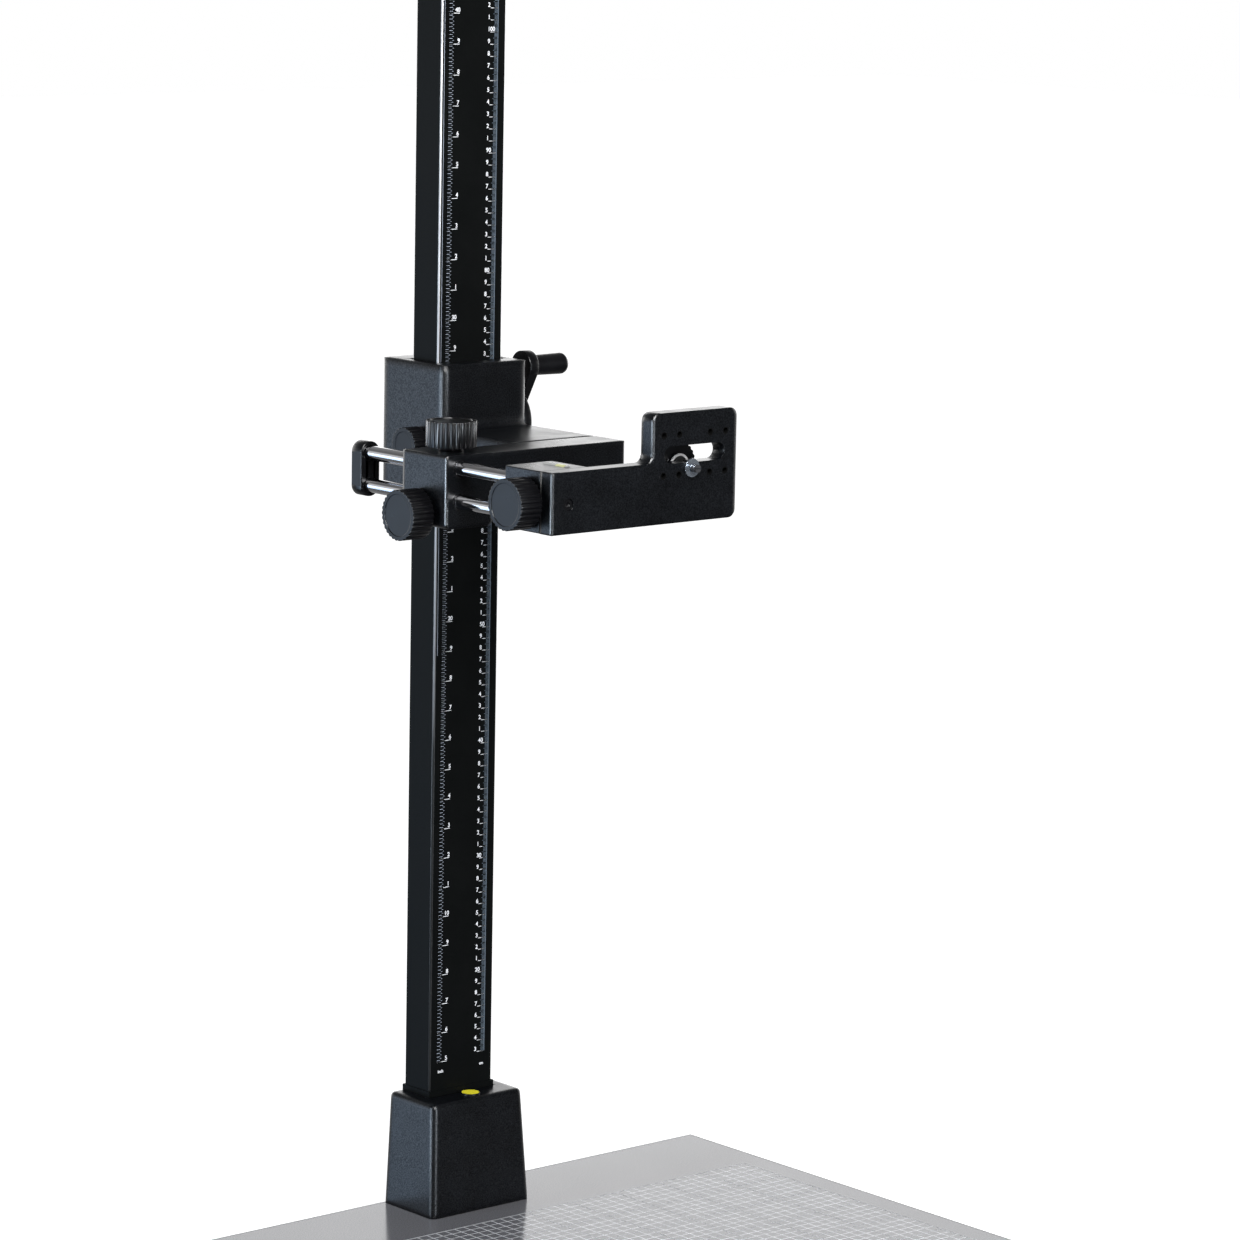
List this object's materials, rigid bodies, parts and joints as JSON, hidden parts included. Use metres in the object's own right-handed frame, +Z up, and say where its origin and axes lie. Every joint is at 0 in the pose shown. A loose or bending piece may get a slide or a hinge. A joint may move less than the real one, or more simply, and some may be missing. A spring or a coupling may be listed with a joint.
{
  "type": "copy stand",
  "caption": "Copy stand: gridded baseboard, tall black column with scales, geared crank carriage, offset arm on two chromed rods and a slotted camera plate.",
  "frame": {"origin": "on the board's top surface, at the middle of the column's front face, from which the two height scales read", "axes": "+Z up along the column, +X to the right seen from the front of the board, -Y forward over the board"},
  "size_m": [0.6, 0.5265, 1.251],
  "materials": {
    "board_laminate": "light grey laminate with a printed centimetre grid, satin",
    "edge_band": "grey plastic edging",
    "cast_black": "fine-textured black coating on cast aluminium",
    "column_black": "black semi-gloss coating on an extrusion, printed scales",
    "knob_black": "black moulded plastic, satin",
    "bright_steel": "bright chromed steel",
    "plain_steel": "machined steel",
    "dark_steel": "blackened steel",
    "brass": "machined brass",
    "glide_plastic": "off-white bearing plastic",
    "rubber": "black rubber",
    "yellow": "plain yellow",
    "level": "clear tube with pale yellow-green fluid"
  },
  "bodies": {
    "base": {"baseboard": "board_laminate", "edge_band": "edge_band", "rubber_feet": "rubber", "rubber_feet_screws": "plain_steel", "column_foot": "cast_black", "foot_bolts": "plain_steel", "column_bolts": "plain_steel", "column_sleeve": "knob_black", "yellow_disc": "yellow", "column": "column_black", "column_cap": "knob_black", "rack": "plain_steel", "rack_screws": "plain_steel"},
    "carriage": {"carriage_housing": "cast_black", "glide_pads": "glide_plastic", "rear_cover": "cast_black", "cover_screws": "dark_steel", "roller_frame": "plain_steel", "roller_axles": "plain_steel", "pressure_screws": "plain_steel", "crank_bush": "brass", "height_brake_pad": "brass", "arm_casting": "cast_black", "arm_bolts": "dark_steel", "rod_lock_bush": "knob_black", "rod_cotter": "brass", "drive_bushes": "brass"},
    "crank": {"crank_shaft": "plain_steel", "pinion": "plain_steel", "crank_arm": "knob_black", "crank_screw": "dark_steel", "grip_axle": "plain_steel"},
    "grip": {"crank_grip": "knob_black"},
    "roller_top": {"upper_roller": "glide_plastic"},
    "roller_bottom": {"lower_roller": "glide_plastic"},
    "height_lock": {"height_lock_knob": "knob_black", "height_lock_screw": "plain_steel"},
    "rods": {"upper_rod": "bright_steel", "lower_rod": "bright_steel", "rod_end_cap": "knob_black", "end_cap_screws": "dark_steel", "rod_head": "cast_black", "rod_set_screws": "dark_steel", "level_vial": "level", "tilt_brake_pad": "brass", "friction_washer": "glide_plastic"},
    "rod_lock": {"rod_lock_knob": "knob_black", "rod_lock_screw": "plain_steel"},
    "drive": {"drive_knob": "knob_black", "drive_shaft": "plain_steel", "drive_roller": "rubber"},
    "plate": {"camera_plate": "cast_black", "pivot_pin": "plain_steel", "pivot_screw": "dark_steel"},
    "tilt_lock": {"tilt_lock_knob": "knob_black", "tilt_lock_screw": "plain_steel"},
    "camera_screw_set": {"camera_screw_knob": "knob_black", "camera_screw": "bright_steel", "retaining_ring": "bright_steel", "camera_screw_washer": "plain_steel"}
  },
  "joints": [
    {"name": "carriage_height", "type": "slide", "parent": "base", "child": "carriage", "axis": [0, 0, 1], "range_m": [-0.5, 0.46]},
    {"name": "crank_turn", "type": "hinge", "parent": "carriage", "child": "crank", "pos_m": [0.052, 0.0145, 0.673], "axis": [1, 0, 0], "range_deg": [-3520, 3825]},
    {"name": "grip_spin", "type": "hinge", "parent": "crank", "child": "grip", "pos_m": [0.082, -0.00204, 0.71997], "axis": [1, 0, 0], "continuous": true},
    {"name": "upper_roller_spin", "type": "hinge", "parent": "carriage", "child": "roller_top", "pos_m": [0, 0.04345, 0.6995], "axis": [1, 0, 0], "range_deg": [-3190, 2940]},
    {"name": "lower_roller_spin", "type": "hinge", "parent": "carriage", "child": "roller_bottom", "pos_m": [0, 0.04345, 0.642], "axis": [1, 0, 0], "range_deg": [-3190, 2940]},
    {"name": "height_lock_turn", "type": "hinge", "parent": "carriage", "child": "height_lock", "pos_m": [-0.058, 0.008, 0.659], "axis": [-1, 0, 0], "range_deg": [-360, 30]},
    {"name": "rod_slide", "type": "slide", "parent": "carriage", "child": "rods", "axis": [0, -1, 0], "range_m": [-0.074, 0.058]},
    {"name": "drive_turn", "type": "hinge", "parent": "carriage", "child": "drive", "pos_m": [-0.158, -0.119, 0.62445], "axis": [1, 0, 0], "range_deg": [-760, 600]},
    {"name": "rod_lock_turn", "type": "hinge", "parent": "carriage", "child": "rod_lock", "pos_m": [-0.117, -0.122, 0.688], "axis": [0, 0, 1], "range_deg": [-30, 360]},
    {"name": "plate_tilt", "type": "hinge", "parent": "rods", "child": "plate", "pos_m": [-0.13, -0.277, 0.6495], "axis": [0, 1, 0], "range_deg": [-10, 10]},
    {"name": "tilt_lock_turn", "type": "hinge", "parent": "rods", "child": "tilt_lock", "pos_m": [-0.16, -0.25675, 0.6495], "axis": [-1, 0, 0], "range_deg": [-360, 30]},
    {"name": "camera_screw_turn", "type": "hinge", "parent": "plate", "child": "camera_screw_set", "pos_m": [-0.003, -0.255, 0.6694], "axis": [0, -1, 0], "continuous": true}
  ],
  "couplings": [
    {"joint": "crank_turn", "follows": "carriage_height", "rad_per_m": -133.33},
    {"joint": "upper_roller_spin", "follows": "carriage_height", "rad_per_m": 111.11},
    {"joint": "lower_roller_spin", "follows": "carriage_height", "rad_per_m": 111.11},
    {"joint": "drive_turn", "follows": "rod_slide", "rad_per_m": 178.57}
  ]
}
